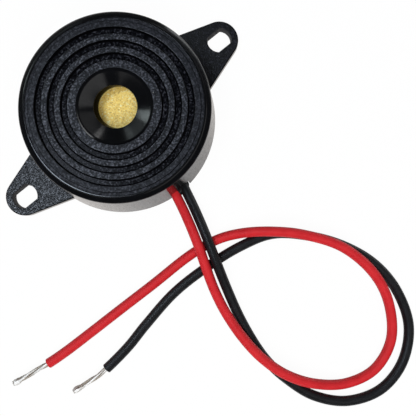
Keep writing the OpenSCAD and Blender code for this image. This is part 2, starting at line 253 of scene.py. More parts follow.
class Nodes:
    """A short way to write a procedural material."""

    def __init__(self, name):
        self.material = bpy.data.materials.new(name)
        self.material.use_nodes = True
        self.tree = self.material.node_tree
        self.shader = self.tree.nodes["Principled BSDF"]
        self.coordinates = self.tree.nodes.new("ShaderNodeTexCoord").outputs["Object"]

    def add(self, kind, **inputs):
        node = self.tree.nodes.new(kind)
        for key, value in inputs.items():
            self.set(node.inputs[key.replace("_", " ")], value)
        return node

    def set(self, socket, value):
        if isinstance(value, bpy.types.NodeSocket):
            self.tree.links.new(value, socket)
        else:
            socket.default_value = value

    def principled(self, **inputs):
        for key, value in inputs.items():
            self.set(self.shader.inputs[key.replace("_", " ")], value)

    def stretched(self, x, y, z):
        """Object coordinates scaled by x, y and z."""
        node = self.add("ShaderNodeMapping", Vector=self.coordinates, Scale=(x, y, z))
        return node.outputs["Vector"]

    def noise(self, size_mm, detail, roughness=0.6, coordinates=None):
        settings = {"Scale": 1 / (size_mm * MM), "Detail": detail, "Roughness": roughness}
        node = self.add("ShaderNodeTexNoise", Vector=coordinates or self.coordinates, **settings)
        return node.outputs["Fac"]

    def spots(self, size_mm, reach):
        """1 inside small spots about a random share of the cells, 0 elsewhere."""
        cells = self.add("ShaderNodeTexVoronoi", Vector=self.coordinates, Scale=1 / (size_mm * MM))
        near = self.ramp(cells.outputs["Distance"], [(reach * 0.6, 1.0), (reach, 0.0)])
        chance = self.add("ShaderNodeSeparateColor", Color=cells.outputs["Color"]).outputs["Red"]
        return self.math("MULTIPLY", near, self.ramp(chance, [(0.9, 0.0), (0.92, 1.0)]))

    def math(self, operation, a, b):
        node = self.tree.nodes.new("ShaderNodeMath")
        node.operation = operation
        self.set(node.inputs[0], a)
        self.set(node.inputs[1], b)
        return node.outputs[0]

    def ramp(self, value, stops):
        """stops are (position, grey or colour)."""
        node = self.tree.nodes.new("ShaderNodeValToRGB")
        self.set(node.inputs["Fac"], value)
        marks = node.color_ramp.elements
        while len(marks) < len(stops):
            marks.new(0.5)
        for mark, (position, colour) in zip(marks, stops):
            mark.position = position
            rgb = colour if isinstance(colour, tuple) else (colour,) * 3
            mark.color = (*rgb, 1)
        return node.outputs["Color"]

    def mix(self, share, a, b):
        node = self.tree.nodes.new("ShaderNodeMix")
        node.data_type = "RGBA"
        for key, value in (("Factor", share), ("A", a), ("B", b)):
            self.set(node.inputs[key], (*value, 1) if isinstance(value, tuple) else value)
        return node.outputs["Result"]

    def bump(self, height, depth_mm, strength):
        node = self.add("ShaderNodeBump", Height=height, Distance=depth_mm * MM, Strength=strength)
        return node.outputs["Normal"]


def grained(name, grain_mm, tones, roughness, bump, dust=None, **gloss):
    """Moulded texture, with painted shade in its hollows and painted glints on its points.

    tones and roughness are ramps over the grain. bump is its depth in mm and its strength.
    dust, if any, is its cell size in mm, its spot size and its colour.
    """
    n = Nodes(name)
    grain = n.noise(grain_mm, 2.0, 0.6)
    tone = n.ramp(grain, tones)
    if dust:
        tone = n.mix(n.spots(*dust[:2]), tone, dust[2])
    n.principled(
        Base_Color=tone, Roughness=n.ramp(grain, roughness), Normal=n.bump(grain, *bump), **gloss
    )
    return n.material


def mottled(name, cloud_noise, dark, light, roughness, bump, stretch=None, start=0.3, **gloss):
    """A material mottled between two tones, each with its roughness.

    cloud_noise is its size in mm, its detail and its roughness. start is where dark ends.
    """
    n = Nodes(name)
    cloud = n.noise(*cloud_noise, n.stretched(*stretch) if stretch else None)
    n.principled(
        Base_Color=n.ramp(cloud, [(start, dark), (0.7, light)]),
        Roughness=n.ramp(cloud, [(0.3, roughness[0]), (0.7, roughness[1])]),
        Normal=n.bump(cloud, *bump),
        **gloss,
    )
    return n.material


def plain(name, dark, light, roughness, size_mm, metallic=0.0, depth_mm=0.01):
    """A mottled material a little smoother where it is light."""
    ends = (roughness, roughness * 0.8)
    return mottled(name, (size_mm, 3.0, 0.6), dark, light, ends, (depth_mm, 0.5), Metallic=metallic)


def smooth_black():
    """Polished edges, lip and dish: gloss with faint waviness and moulding marks."""
    n = Nodes("smooth_black")
    waves = n.noise(2.6, 2.0)
    marks = n.noise(0.35, 3.0, 0.6)
    n.principled(
        Base_Color=n.ramp(waves, [(0.3, (0.0012, 0.0013, 0.0018)), (0.7, (0.0022, 0.0025, 0.0034))]),
        Roughness=n.ramp(marks, [(0.3, 0.13), (0.7, 0.20)]),
        Normal=n.bump(waves, 0.01, 0.08),
    )
    return n.material


def brass():
    """The disc's brass: mottled, with paler flecks and darker pits."""
    n = Nodes("brass")
    mottle = n.noise(0.5, 4.0, 0.7)
    speckle = n.noise(0.26, 2.0, 0.6)
    tone = n.ramp(mottle, [(0.3, (0.82, 0.56, 0.13)), (0.55, (1.0, 0.72, 0.18)), (0.8, (1.0, 0.80, 0.28))])
    flecks = n.ramp(speckle, [(0.57, 0.0), (0.65, 1.0)])
    pits = n.ramp(speckle, [(0.35, 1.0), (0.43, 0.0)])
    n.principled(
        Metallic=0.4,
        Base_Color=n.mix(pits, n.mix(flecks, tone, (1.0, 0.91, 0.52)), (0.66, 0.42, 0.11)),
        Roughness=n.ramp(mottle, [(0.3, 0.46), (0.7, 0.34)]),
        Normal=n.bump(speckle, 0.06, 1.0),
    )
    return n.material


BARE_ENDS_X = -25  # the leads' bare far ends lie beyond this


def tinned():
    """Tinned copper: bright, brown where it shows through, with painted shade low on the bare ends' flanks.
    """
    n = Nodes("tinned")
    streaks = n.noise(0.6, 1.0, 0.4, n.stretched(0.12, 1, 1))
    sheen = n.noise(0.8, 2.0, 0.5, n.stretched(0.3, 1, 1))
    clean, bright = (0.84, 0.83, 0.81), (0.97, 0.97, 0.96)
    tone = n.ramp(streaks, [(0.30, (0.16, 0.11, 0.09)), (0.40, clean), (0.8, bright)])
    place = n.add("ShaderNodeSeparateXYZ", Vector=n.coordinates)
    # painted shade: below about 1 mm up, the bare far ends turn dark grey-brown, so their lower flanks read
    # as a dark outline
    painted_flank_shade = n.ramp(n.math("DIVIDE", place.outputs["Z"], 2 * MM), [(0.49, 1.0), (0.61, 0.0)])
    outside = n.math("LESS_THAN", place.outputs["X"], BARE_ENDS_X * MM)
    tone = n.mix(n.math("MULTIPLY", painted_flank_shade, outside), tone, (0.34, 0.30, 0.25))
    n.principled(
        Metallic=0.12,
        Base_Color=tone,
        Roughness=n.ramp(sheen, [(0.3, 0.40), (0.7, 0.32)]),
        Normal=n.bump(sheen, 0.02, 0.3),
    )
    return n.material


SMOOTH, TEXTURED, GROOVE, SHADE, WALL, INNER, LAND, BORE, OUTER, SCREW = range(10)
CASE_FINISHES = [
    smooth_black(),
    # spark-eroded lug tops, with painted glints and shade in the grain, and dust specks
    grained(
        "textured_black", 0.25,
        [(0.38, (0.0005, 0.0006, 0.0009)), (0.54, (0.0028, 0.0031, 0.0042)), (0.72, (0.034, 0.036, 0.046))],
        [(0.36, 0.52), (0.64, 0.20)], (0.05, 1.0), (1.6, 0.045, (0.30, 0.29, 0.26)),
    ),
    # groove floors: polished, with fine pale specks that are painted glints
    grained(
        "groove_black", 0.32,
        [(0.38, (0.0008, 0.0009, 0.0013)), (0.54, (0.0046, 0.0050, 0.0070)), (0.74, (0.048, 0.050, 0.062))],
        [(0.3, 0.18), (0.7, 0.30)], (0.01, 0.5), Specular_IOR_Level=0.08,
    ),
    # painted shade: steep walls, the groove floors' edges, the drum's foot and sharp edges are near black
    # with no gloss
    mottled(
        "shade_black", (0.4, 3.0, 0.6), (0.0008, 0.0008, 0.0010), (0.0020, 0.0020, 0.0026),
        (0.9, 0.8), (0.02, 0.4), Specular_IOR_Level=0.0,
    ),
    # the drum's side: drawn gloss, with fine streaks along the draft, and a painted warm tint on its
    # reflections
    mottled(
        "wall_black", (0.22, 3.0, 0.6), (0.005, 0.005, 0.005), (0.011, 0.011, 0.011),
        (0.10, 0.24), (0.008, 0.6), (1, 1, 0.06), Specular_Tint=(1.0, 0.945, 0.90, 1.0),
    ),
    # faces that only show from below: satin
    mottled(
        "inner_black", (0.3, 3.0, 0.6), (0.009, 0.0095, 0.012), (0.018, 0.019, 0.023),
        (0.5, 0.4), (0.02, 0.4),
    ),
    # lands of the face: dull, bluish and evenly speckled with painted glints and shade
    grained(
        "land_black", 0.28,
        [(0.38, (0.0015, 0.0017, 0.0024)), (0.52, (0.013, 0.0145, 0.019)), (0.72, (0.104, 0.111, 0.136))],
        [(0.36, 0.58), (0.64, 0.34)], (0.04, 1.0), (1.9, 0.04, (0.30, 0.30, 0.29)),
        Specular_IOR_Level=0.3,
    ),
    # the sound hole's wall: shiny only at a glance along it
    mottled(
        "bore_black", (0.5, 2.0, 0.5), (0.0008, 0.0008, 0.0010), (0.0016, 0.0016, 0.0020),
        (0.10, 0.16), (0.004, 0.3), (0.3, 0.3, 1), Specular_IOR_Level=0.001,
    ),
    # softer texture on the outermost land and in the band beside it, with painted glints and shade
    grained(
        "case_rim_land", 0.30,
        [(0.36, (0.003, 0.0034, 0.0048)), (0.54, (0.0155, 0.017, 0.022)), (0.74, (0.056, 0.059, 0.072))],
        [(0.36, 0.55), (0.64, 0.38)], (0.03, 0.8), Specular_IOR_Level=0.25,
    ),
    # walls of the screw holes: dull
    plain("screw_hole_black", (0.009, 0.0095, 0.012), (0.018, 0.0185, 0.022), 0.8, 0.4),
]
BRASS = brass()
RED_PVC = mottled(
    "red_pvc", (1.8, 2.0, 0.6), (0.52, 0.015, 0.020), (0.60, 0.022, 0.027),
    (0.46, 0.52), (0.03, 0.3), Specular_IOR_Level=0.25,
)
BLACK_PVC = mottled(
    "black_pvc", (1.8, 2.0, 0.6), (0.0045, 0.0047, 0.0055), (0.0085, 0.009, 0.0105),
    (0.38, 0.46), (0.03, 0.3), Specular_IOR_Level=0.38,
)
TINNED = tinned()
# the strands' bare core, browned by heat
COPPER = mottled(
    "copper", (0.5, 2.0, 0.5), (0.035, 0.020, 0.014), (0.16, 0.075, 0.045),
    (0.6, 0.45), (0.01, 0.3), (0.3, 1, 1), 0.35, Metallic=0.3,
)
SOLDER = mottled(
    "solder", (0.5, 3.0, 0.6), (0.58, 0.58, 0.57), (0.82, 0.83, 0.84),
    (0.32, 0.16), (0.03, 0.4), Metallic=1.0,
)
CERAMIC = plain("silvered_ceramic", (0.55, 0.54, 0.51), (0.72, 0.71, 0.68), 0.45, 0.8, 0.8)
SILICONE = plain("silicone", (0.62, 0.62, 0.56), (0.74, 0.74, 0.68), 0.35, 1.5)
BLACK_GLUE = plain("black_glue", (0.006, 0.006, 0.007), (0.014, 0.014, 0.016), 0.2, 1.8, 0.0, 0.03)
MASK_GREEN = plain("mask_green", (0.010, 0.075, 0.030), (0.016, 0.105, 0.042), 0.38, 1.2)
TRACK_GREEN = plain("track_green", (0.022, 0.135, 0.050), (0.032, 0.170, 0.062), 0.32, 1.0)
CHIP_BLACK = plain("chip_black", (0.012, 0.012, 0.013), (0.022, 0.022, 0.023), 0.55, 0.3)
CHIP_WHITE = plain("chip_white", (0.70, 0.69, 0.66), (0.80, 0.79, 0.76), 0.5, 0.3)
MOULDED, CERAMIC_WHITE, METAL = range(3)
CHIP_FINISHES = [CHIP_BLACK, CHIP_WHITE, TINNED]

# -------- lead routes

RED_ROUTE = [
    (-0.9, -7.6, 1.2), (-0.9, -9.5, 1.2), (-0.9, -13, 1.2), (-1.55, -16.5, 1.5),
    (-2.45, -20, 2.15), (-3.5, -23.4, 2.5), (-4.8, -27, 2.5), (-6, -30.5, 1.8),
    (-6.9, -34.5, 1.65), (-7.25, -39, 2.45), (-6.95, -43.5, 2.5), (-5.65, -47.95, 2.5),
    (-3, -52.3, 1.6), (1, -55.7, 0.85), (6, -56.8, 0.8), (11, -54.7, 0.95), (14.3, -49.55, 1.75),
    (15.2, -44, 2.45), (13.95, -38.05, 2.5), (10.55, -32.85, 2.5), (6.85, -29.15, 2.5),
    (2.95, -26.35, 1.4), (-1, -24.65, 0.85), (-6, -23.9, 0.8), (-13, -23.8, 0.8),
    (-20, -23.6, 0.8), (-26, -23.45, 0.8), (-30.5, -23.3, 0.8), (-33.95, -23, 0.8),
    (-37, -22.5, 0.8), (-40.2, -22, 0.8),
]
BLACK_ROUTE = [
    (0.9, -5, 1.2), (0.9, -9.5, 1.2), (0.9, -13, 1.2), (0.15, -16.7, 1.5), (-0.75, -20.2, 2.15),
    (-1.9, -24, 2.5), (-3.2, -28, 2.5), (-4.45, -32, 1.4), (-5.6, -36.2, 0.8), (-6.4, -40.5, 0.8),
    (-6.7, -44.5, 0.8), (-6.2, -48.6, 0.8), (-4.45, -53.75, 0.8), (-0.8, -57.9, 0.8),
    (4.5, -59.9, 0.8), (10, -58.8, 0.8), (14.5, -55, 0.8), (16.6, -49.5, 0.8), (16.6, -44, 0.8),
    (14.75, -38.8, 0.8), (11.5, -34, 0.8), (7, -29.8, 0.8), (1.5, -27.95, 0.8), (-5, -27.1, 0.8),
    (-11.5, -27, 0.8), (-18, -28.05, 0.8), (-22.5, -29, 0.8), (-27.3, -29.5, 0.8),
    (-30.5, -29.4, 0.8), (-33.6, -28.95, 0.8),
]
LEAD_R = 0.8
BARE_STRETCHES = 2
STRETCH_STEPS = 10
LEAD_SIDES = 32
CUT_EDGE, CUT_BORE_R, CUT_DEPTH = 0.04, 0.45, 0.35  # the insulation's cut ends
SQUEEZE, SQUEEZE_RUN = 0.03, 19.0  # the leads are drawn thinner where they leave the drum


def curve_through(route, first, last):
    """A smooth curve through the route's points from number first to number last."""
    points = [Vector(p) for p in route]
    points = [2 * points[0] - points[1], *points, 2 * points[-1] - points[-2]]
    curve = []
    for i in range(first, last):
        a, b, c, d = points[i : i + 4]
        for k in range(STRETCH_STEPS):
            t = k / STRETCH_STEPS
            bend = (2 * a - 5 * b + 4 * c - d) * t**2 + (3 * b - a - 3 * c + d) * t**3
            curve.append((2 * b + (c - a) * t + bend) / 2)
    return [*curve, points[last + 1]]


def heading(centres, k):
    """Unit direction of a line of centres at number k."""
    ahead = centres[min(k + 1, len(centres) - 1)] - centres[max(k - 1, 0)]
    return ahead.normalized()


def square_to(way):
    """Two unit directions square to this one, the first of them level."""
    side = way.cross(Vector((0, 0, 1))).normalized()
    return side, side.cross(way)


def tube_rings(centres, radii, sides, shape=None, way=None):
    """Rings of points round a line of centres, or facing one way.

    shape(k, angle) scales a ring's radius.
    """
    rings = []
    for k, centre in enumerate(centres):
        side, up = square_to(heading(centres, k) if way is None else way)
        ring = []
        for a in full_turn(sides):
            r = radii[k] * (shape(k, a) if shape else 1)
            ring.append(centre + r * (math.cos(a) * side + math.sin(a) * up))
        rings.append(ring)
    return rings


def distances(points):
    """How far along a line of points each of them lies."""
    run = [0.0]
    for a, b in zip(points, points[1:]):
        run.append(run[-1] + (b - a).length)
    return run


def make_lead(name, route, material):
    """The insulated lead, with a cut face at each end that the strands come out of."""
    centres = curve_through(route, 1, len(route) - 1 - BARE_STRETCHES)
    start_way = (centres[1] - centres[0]).normalized()
    end_way = (centres[-1] - centres[-2]).normalized()
    start, end = centres[0], centres[-1]
    start_line = [start + start_way * d for d in (CUT_DEPTH, 0, 0, CUT_EDGE)]
    end_line = [end - end_way * d for d in (CUT_EDGE, 0, 0, CUT_DEPTH)]
    cut_radii = [CUT_BORE_R, CUT_BORE_R, LEAD_R - CUT_EDGE, LEAD_R]
    run = distances(centres)
    radii = [LEAD_R * (1 - SQUEEZE * max(0, 1 - s / SQUEEZE_RUN)) for s in run[1:-1]]
    start_radii = [min(r, radii[0] - CUT_EDGE * (k < 3)) for k, r in enumerate(cut_radii)]
    rings = tube_rings(start_line, start_radii, LEAD_SIDES, way=start_way)
    rings += tube_rings(centres[1:-1], radii, LEAD_SIDES)
    rings += tube_rings(end_line, cut_radii[::-1], LEAD_SIDES, way=end_way)
    lead = shade(stack_solid(name + "_insulation", rings, 0, [material]))
    stand_for(lead, name)


STRAND_R = 0.19
STRAND_SIDES = 14
STRAND_OUT, OUT_WANDER = 0.235, 0.03  # distance from the lead's middle, and how much it varies
STRAND_COUNT = 3
STRAND_PITCH, TWIST_WANDER = 12.0, 0.35
WANDER_STEP, WANDER_RATE = 3.1, 0.7
STRAND_OVERLAP = 0.3  # the far strands start this far inside the insulation
INNER_SEED = 7
CORE_R = 0.16
DIP_REACH = 1.7  # length of the solder bead at the tip
DIP_FULL = 0.8  # its length that has the full radius, the rounded end included
DIP_END = 0.5  # length of the rounded end
DIP_START_R, DIP_R, DIP_TIP_R = 0.30, 0.5, 0.01
DIP_LUMPS, LUMP_RATE = 0.10, 0.12
DIP_STEPS, DIP_SIDES = 36, 24
BRIGHT, BARE_CORE = range(2)


def add_tube(tubes, rings, finish):
    """Adds a closed tube to lists of points, faces and finishes."""
    points, faces, finishes = tubes
    added = capped_faces(len(rings), len(rings[0]), len(points))
    points += [p for ring in rings for p in ring]
    faces += added
    finishes += [finish] * len(added)


def add_strands(tubes, centres, seed):
    """Adds twisted tinned strands round a bare core."""
    run = distances(centres)
    for strand in range(STRAND_COUNT + 1):
        is_core = strand == STRAND_COUNT
        line = []
        for k, centre in enumerate(centres):
            side, up = square_to(heading(centres, k))
            wander = noise.noise(Vector((strand * WANDER_STEP, run[k] * WANDER_RATE, seed)))
            out = 0 if is_core else STRAND_OUT + OUT_WANDER * wander
            twist = 2 * math.pi * (strand / STRAND_COUNT + run[k] / STRAND_PITCH)
            a = twist + TWIST_WANDER * wander + seed
            line.append(centre + out * (math.cos(a) * side + math.sin(a) * up))
        rings = tube_rings(line, [CORE_R if is_core else STRAND_R] * len(line), STRAND_SIDES)
        add_tube(tubes, rings, BARE_CORE if is_core else BRIGHT)


def make_bare_ends(name, route, seed):
    """The strands at the far tip, dipped in solder at the end, and those inside the drum."""
    tip = curve_through(route, len(route) - 1 - BARE_STRETCHES, len(route) - 1)
    hidden = (tip[1] - tip[0]).normalized() * STRAND_OVERLAP
    tip = [tip[0] - hidden, *tip]
    tubes = ([], [], [])
    add_strands(tubes, tip, seed)
    add_tube(tubes, solder_dip(tip, seed), BRIGHT)
    add_strands(tubes, curve_through(route, 0, 1), seed + INNER_SEED)
    bundle = shade(mesh_from(name + "_strands", *tubes, [TINNED, COPPER]), 60)
    stand_for(bundle, name)
    return bundle


def solder_dip(tip, seed):
    """Rings of a bead of solder that swells out of the strands and ends round."""
    run = distances(tip)
    centres, radii = [], []
    for k in range(DIP_STEPS + 1):
        left = DIP_REACH * (1 - k / DIP_STEPS)
        s = run[-1] - left
        i = min(max(j for j in range(len(run)) if run[j] <= s + 1e-9), len(run) - 2)
        centres.append(tip[i].lerp(tip[i + 1], (s - run[i]) / (run[i + 1] - run[i])))
        swell = min(1, (DIP_REACH - left) / (DIP_REACH - DIP_FULL))
        coat = DIP_START_R + (DIP_R - DIP_START_R) * swell * swell * (3 - 2 * swell)
        if left < DIP_END:
            round_end = math.sqrt(max(0.0, 1 - (1 - left / DIP_END) ** 2))
            coat = min(coat, DIP_R * round_end + DIP_TIP_R)
        radii.append(coat)

    def lumps(k, a):
        spot = Vector((math.cos(a), math.sin(a) + seed, k * LUMP_RATE))
        return 1 + DIP_LUMPS * noise.noise(spot)

    return tube_rings(centres, radii, DIP_SIDES, lumps)


red_strands = make_bare_ends("red_lead_bare_ends", RED_ROUTE, 1)
black_strands = make_bare_ends("black_lead_bare_ends", BLACK_ROUTE, 2)
make_lead("red_lead", RED_ROUTE, RED_PVC)
make_lead("black_lead", BLACK_ROUTE, BLACK_PVC)

# -------- housing

case_high, disc_high, board_high = [
    cad_mm(node)[1] for node in ("housing", "brass_diaphragm", "circuit_board")
]
BASE_R = case_high.y
FACE_Z = case_high.z
RIM_DROP = 0.55
LIP_R = BASE_R - 1.66
RIM_R = BASE_R - 0.88
LIP_DROP = 0.06
BAND_R = LIP_R - 0.3
FACE_R = BAND_R - 0.44
BAND_DEPTH = 0.2
RING_W = 0.95
GROOVE_COUNT = 3
GROOVE_DEPTH = 0.5
GROOVE_FILLET = 0.16
HOLE_R = 3.2
FOOT_OFF = (-0.19, -0.03)  # the foot of the drum's wall lies off the rings' centre
HOLE_OFF = (0.08, 0.2)  # the hole and its collar lie off the rings' centre
HOLE_LEAN = (0.46, 0.31)  # how far the inner end of the hole lies from its outer end
DISH_R = 5.65
DISH_DEPTH = 1.33
DISH_STEP_W = 0.3
DISH_STEP = 0.3
COLLAR_R = 4.4
COLLAR_GAP = 0.4
PLATE_T = 1.5
CHAMBER_R = disc_high.x - 1.1
DISC_BORE_R = disc_high.x + 0.1
BOARD_BORE_R = board_high.x + 0.1
OUTER_WALL_R = BOARD_BORE_R + 0.3  # only the wall's outer side lies beyond this
CASE_SEGMENTS = 288

# roundings of the drum's edges
FOOT_ROUND, RIM_ROUND, LIP_ROUND = 0.12, 0.35, 0.6
BAND_ROUND, LAND_ROUND, DISH_ROUND, STEP_ROUND = 0.05, 0.07, 0.08, 1.2
HOLE_ROUND, BACK_ROUND = 0.1, 0.15

LUG_T = 1.6
LUG_TIP_R = 3.05
LUG_TIP_X = case_high.x - LUG_TIP_R + 0.03
LUG_FLARE = math.radians(18)
LUG_ROOT_R = 14.4
LUG_ROUND, LUG_FOOT_ROUND = 0.14, 0.06
LUG_TIP_STEPS, LUG_ROOT_STEPS = 24, 12
ROOT_SEARCH = 0.002
EDGE_STEPS = 4
SCREW_X = 20.0
SCREW_R = 1.97
SCREW_HALF_FLATS = 1.5
SCREW_ROUND = 0.08
SCREW_DRAFT = 0.12
SCREW_STEPS = 16
CUT_PAST = 0.4  # how far the screw cutter sticks out of the lug
NOTCH_X = (-1.9, 1.75)
NOTCH_H = 3.0
NOTCH_ROUND = 0.25


def drum_corners():
    """The drum's section, from the foot of its wall over the face and down its inside."""
    lip_top = FACE_Z - LIP_DROP
    corners = [
        (BASE_R, 0, FOOT_ROUND, WALL, SHADE),
        (RIM_R, FACE_Z - RIM_DROP, RIM_ROUND, SMOOTH),
        (LIP_R, lip_top, LIP_ROUND, SMOOTH),
        (BAND_R, lip_top, BAND_ROUND, SHADE),
        (BAND_R, FACE_Z - BAND_DEPTH, 0, OUTER),
        (FACE_R, FACE_Z - BAND_DEPTH, 0, SHADE),
        (FACE_R, FACE_Z, LAND_ROUND, OUTER, SHADE),
    ]
    for k in range(GROOVE_COUNT):
        outer = FACE_R - (2 * k + 1) * RING_W
        inner = outer - RING_W
        floor_z = FACE_Z - GROOVE_DEPTH
        corners += [
            (outer, FACE_Z, LAND_ROUND, SHADE),
            (outer, floor_z + GROOVE_FILLET, 0, SHADE),
            (outer - GROOVE_FILLET, floor_z, 0, GROOVE),
            (inner + GROOVE_FILLET, floor_z, 0, SHADE),
            (inner, floor_z + GROOVE_FILLET, 0, SHADE),
            (inner, FACE_Z, LAND_ROUND, LAND),
        ]
    collar_end = disc_high.z + COLLAR_GAP
    plate_back = FACE_Z - PLATE_T
    corners += [
        (DISH_R, FACE_Z, DISH_ROUND, SMOOTH),
        (DISH_R - DISH_STEP_W, FACE_Z - DISH_STEP, STEP_ROUND, SMOOTH),
        (HOLE_R, FACE_Z - DISH_DEPTH, HOLE_ROUND, BORE),
        (HOLE_R, collar_end, HOLE_ROUND, INNER, BORE),
        (COLLAR_R, collar_end, HOLE_ROUND, INNER),
        (COLLAR_R, plate_back, BACK_ROUND, INNER),
        (CHAMBER_R, plate_back, BACK_ROUND, INNER),
        (CHAMBER_R, disc_high.z, 0, INNER),
        (DISC_BORE_R, disc_high.z, 0, INNER),
        (DISC_BORE_R, board_high.z, 0, INNER),
        (BOARD_BORE_R, board_high.z, 0, INNER),
        (BOARD_BORE_R, 0, HOLE_ROUND, INNER),
    ]
    return corners


def lug_outline(inset):
    """The lug seen from above, drawn in by inset, with its root inside the drum's wall."""
    half = math.pi / 2 - LUG_FLARE
    tip = arc(LUG_TIP_X, 0, LUG_TIP_R - inset, -half, 2 * half, LUG_TIP_STEPS)
    touch_x, touch_y = tip[-1]
    slope = math.tan(LUG_FLARE)
    x = touch_x
    while math.hypot(x, touch_y + (touch_x - x) * slope) > LUG_ROOT_R:
        x -= ROOT_SEARCH
    root = math.atan2(touch_y + (touch_x - x) * slope, x)
    return tip + arc(0, 0, LUG_ROOT_R, root, -2 * root, LUG_ROOT_STEPS)


def edge_levels(radius):
    """(inset, drop) pairs of a rounded edge, from the side up to the face."""
    quarter = arc(0, 0, radius, 0, math.pi / 2, EDGE_STEPS)
    return [(radius - x, radius - y) for x, y in quarter]


def make_lug():
    foot = edge_levels(LUG_FOOT_ROUND)[::-1]
    top = [(inset, LUG_T - drop) for inset, drop in edge_levels(LUG_ROUND)]
    finishes = [INNER, *[SMOOTH] * len(foot), *[SHADE] * (len(top) - 1), TEXTURED]
    return stack_outlines("lug", lug_outline, foot + top, finishes, CASE_FINISHES)


def screw_outline(grow):
    """A circle with two flats along X, grown by this much."""
    r = SCREW_R + grow
    half = math.asin((SCREW_HALF_FLATS + grow) / r)
    starts = (-half, math.pi - half)
    return [p for a in starts for p in arc(SCREW_X, 0, r, a, 2 * half, SCREW_STEPS)]


def make_screw_cutter():
    flare = edge_levels(SCREW_ROUND)
    levels = [(SCREW_ROUND, -CUT_PAST)]
    levels += [(grow - SCREW_DRAFT, depth) for grow, depth in flare[::-1]]
    levels += [(grow, LUG_T - depth) for grow, depth in flare]
    levels += [(SCREW_ROUND, LUG_T + CUT_PAST)]
    return stack_outlines("cutter", screw_outline, levels, SCREW, CASE_FINISHES)


def make_notch_cutter():
    """A block with its two upper edges rounded, right through the drum's wall."""
    low_x, high_x = NOTCH_X
    r = NOTCH_ROUND
    outline = [(low_x, -1), (high_x, -1)]
    for x, start in ((high_x - r, 0), (low_x + r, math.pi / 2)):
        outline += arc(x, NOTCH_H - r, r, start, math.pi / 2, EDGE_STEPS)
    rings = [[(x, y, z) for x, z in outline] for y in (-BASE_R - 1, -DISC_BORE_R + 0.8)]
    return stack_solid("cutter", rings, SMOOTH, CASE_FINISHES)


def mirrored(obj):
    """Turns an object half round Z, in place."""
    obj.data.transform(Matrix.Rotation(math.pi, 4, "Z"))
    return obj


def set_off_centre(case):
    """Moves the hole, with the dish round it less and less, and leans its wall and the drum's."""
    for v in case.data.vertices:
        r, z = math.hypot(v.co.x, v.co.y) / MM, v.co.z / MM
        share = min(1, max(0, (DISH_R - r) / (DISH_R - HOLE_R)))
        lean = 0
        if HOLE_R - 0.2 < r < COLLAR_R - 0.05:  # the hole's wall, not the outside of its collar
            depth = FACE_Z - DISH_DEPTH - z
            lean = min(1, max(0, depth / (FACE_Z - DISH_DEPTH - disc_high.z - COLLAR_GAP)))
        foot = 1 - z / FACE_Z if r > OUTER_WALL_R else 0
        for axis in (0, 1):
            off = HOLE_OFF[axis] * share + HOLE_LEAN[axis] * lean + FOOT_OFF[axis] * foot
            v.co[axis] += off * MM


def make_housing():
    case = lathe("housing_shell", drum_corners(), CASE_SEGMENTS, CASE_FINISHES)
    set_off_centre(case)
    for make, operation in ((make_lug, "UNION"), (make_screw_cutter, "DIFFERENCE")):
        combine(case, make(), operation)
        combine(case, mirrored(make()), operation)
    combine(case, make_notch_cutter(), "DIFFERENCE")
    shade(case)
    flatten = case.modifiers.new("normals", "WEIGHTED_NORMAL")
    flatten.keep_sharp = True
    apply_modifiers(case)
    stand_for(case, "housing")


make_housing()

# -------- other pieces

BLOB_ROWS, BLOB_COLUMNS = 24, 40
LUMP_SIZE = 1.7


def blob(name, centre, radii, material, square=3.0, wobble=0.06, seed=0):
    """A closed, slightly lumpy rounded form, the more like a box the higher square is."""

    def bent(value):
        return math.copysign(abs(value) ** (2 / square), value)

    rings = []
    for i in range(1, BLOB_ROWS):
        tilt = math.pi * (i / BLOB_ROWS - 0.5)
        level, up = bent(math.cos(tilt)), bent(math.sin(tilt))
        ring = []
        for turn in full_turn(BLOB_COLUMNS):
            way = Vector((level * bent(math.cos(turn)), level * bent(math.sin(turn)), up))
            grow = 1 + wobble * noise.noise(way * LUMP_SIZE + Vector((seed, 0, 0)))
            ring.append([c + w * r * grow for c, w, r in zip(centre, way, radii)])
        rings.append(ring)
    return stack_solid(name, rings, 0, [material])


CORNER_STEPS = 3


def rounded_rectangle(low, high, inset, corner):
    """Outline of a rectangle with rounded corners, drawn in by inset."""
    points = []
    for k, (x, y) in enumerate(((high.x, high.y), (low.x, high.y), (low.x, low.y), (high.x, low.y))):
        centre_x = x - math.copysign(corner + inset, x - (low.x + high.x) / 2)
        centre_y = y - math.copysign(corner + inset, y - (low.y + high.y) / 2)
        points += arc(centre_x, centre_y, corner, math.pi / 2 * k, math.pi / 2, CORNER_STEPS)
    return points


def moulded_block(low, high, finish, edge=0.04, taper=0.0):
    """A block with rounded edges, drawn in by taper from its middle level to both faces."""
    turned = 0.3 * edge
    levels = [(taper + edge, low.z), (taper + turned, low.z + turned), (taper, low.z + edge)]
    levels += [(0, (low.z + high.z) / 2)] if taper else []
    levels += [(inset, low.z + high.z - z) for inset, z in levels[2::-1]]

    def outline(inset):
        return rounded_rectangle(low, high, inset, edge)

    return stack_outlines("block", outline, levels, finish, CHIP_FINISHES)


def slice_along(low, high, along, start, end):
    """The slice of a box between two distances from its middle along one axis."""
    low, high = low.copy(), high.copy()
    middle = (low[along] + high[along]) / 2
    low[along], high[along] = middle + start, middle + end
    return low, high


def end_slices(low, high, along, depth):
    """The two slices of a box at its ends, this deep."""
    half = (high - low)[along] / 2
    spans = ((-half, depth - half), (half - depth, half))
    return [slice_along(low, high, along, *span) for span in spans]


def long_axis(low, high):
    return 0 if high.x - low.x > high.y - low.y else 1


RESISTORS = ("base_resistor", "collector_resistor", "feedback_resistor")
CHIP_EDGE, BODY_EDGE, BODY_TAPER = 0.05, 0.06, 0.1
CHIP_CAP = 0.38
CHIP_SKIN = 0.05  # how far the end caps stand out from the ceramic
COAT_LAP = 0.06  # how far the black coat runs under the caps
COAT_LEVELS = (0.02, 0.16)


